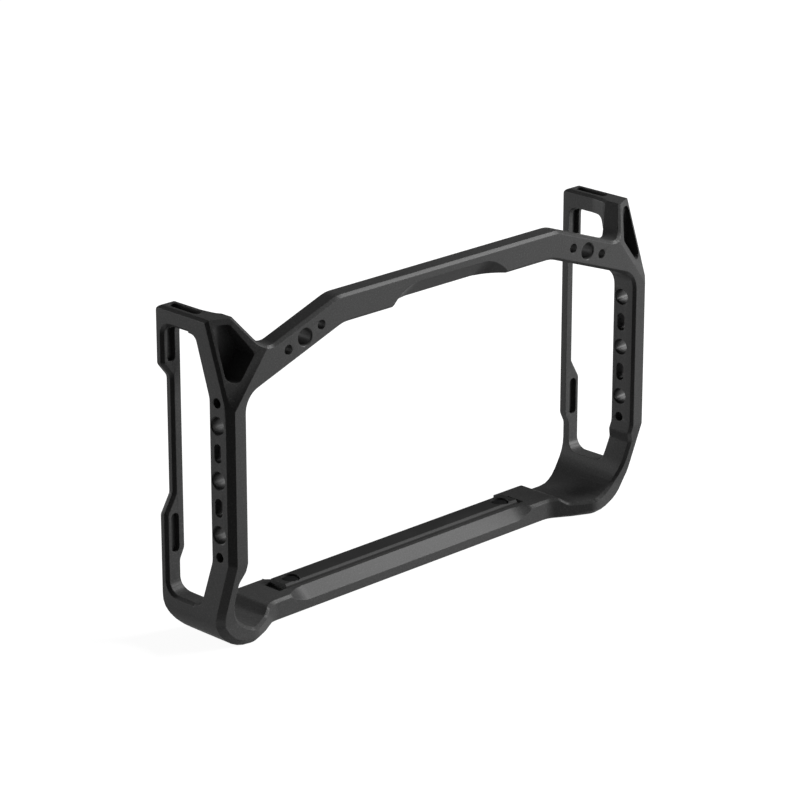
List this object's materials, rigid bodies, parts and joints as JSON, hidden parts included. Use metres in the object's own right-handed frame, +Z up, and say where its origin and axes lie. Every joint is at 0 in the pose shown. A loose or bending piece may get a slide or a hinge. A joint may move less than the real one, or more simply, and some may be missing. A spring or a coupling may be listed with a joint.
{
  "type": "camera monitor cage",
  "caption": "Open black aluminium cage for a camera monitor, with tapped mounting holes in its wings and top bar, side windows, a padded base bar and captive screws.",
  "frame": {"origin": "middle of the underside: on the plane of symmetry, halfway between the ring's face and the back of the wings", "axes": "+X across the cage to the right wing as seen from the front, +Y from the ring's face to the back of the wings, +Z up"},
  "size_m": [0.2048, 0.0358, 0.1175],
  "materials": {
    "black_anodised": "fine bead-blasted and anodised black",
    "black_rubber": "matt moulded rubber",
    "dark_steel": "black oxide on turned steel"
  },
  "bodies": {
    "cage": {"cage_frame": "black_anodised", "base_pad": "black_rubber", "left_ring": "dark_steel", "right_ring": "dark_steel"},
    "left_washer_body": {"left_washer": "dark_steel"},
    "left_screw_body": {"left_screw": "dark_steel"},
    "right_washer_body": {"right_washer": "dark_steel"},
    "right_screw_body": {"right_screw": "dark_steel"}
  },
  "joints": [
    {"name": "left_screw_lift", "type": "slide", "parent": "cage", "child": "left_washer_body", "axis": [0, 0, 1], "range_m": [0, 0.0029]},
    {"name": "left_screw_turn", "type": "hinge", "parent": "left_washer_body", "child": "left_screw_body", "pos_m": [-0.0523, 0.00825, 0.0025], "axis": [0, 0, 1], "continuous": true},
    {"name": "right_screw_lift", "type": "slide", "parent": "cage", "child": "right_washer_body", "axis": [0, 0, 1], "range_m": [0, 0.0029]},
    {"name": "right_screw_turn", "type": "hinge", "parent": "right_washer_body", "child": "right_screw_body", "pos_m": [0.0523, 0.00825, 0.0025], "axis": [0, 0, 1], "continuous": true}
  ]
}
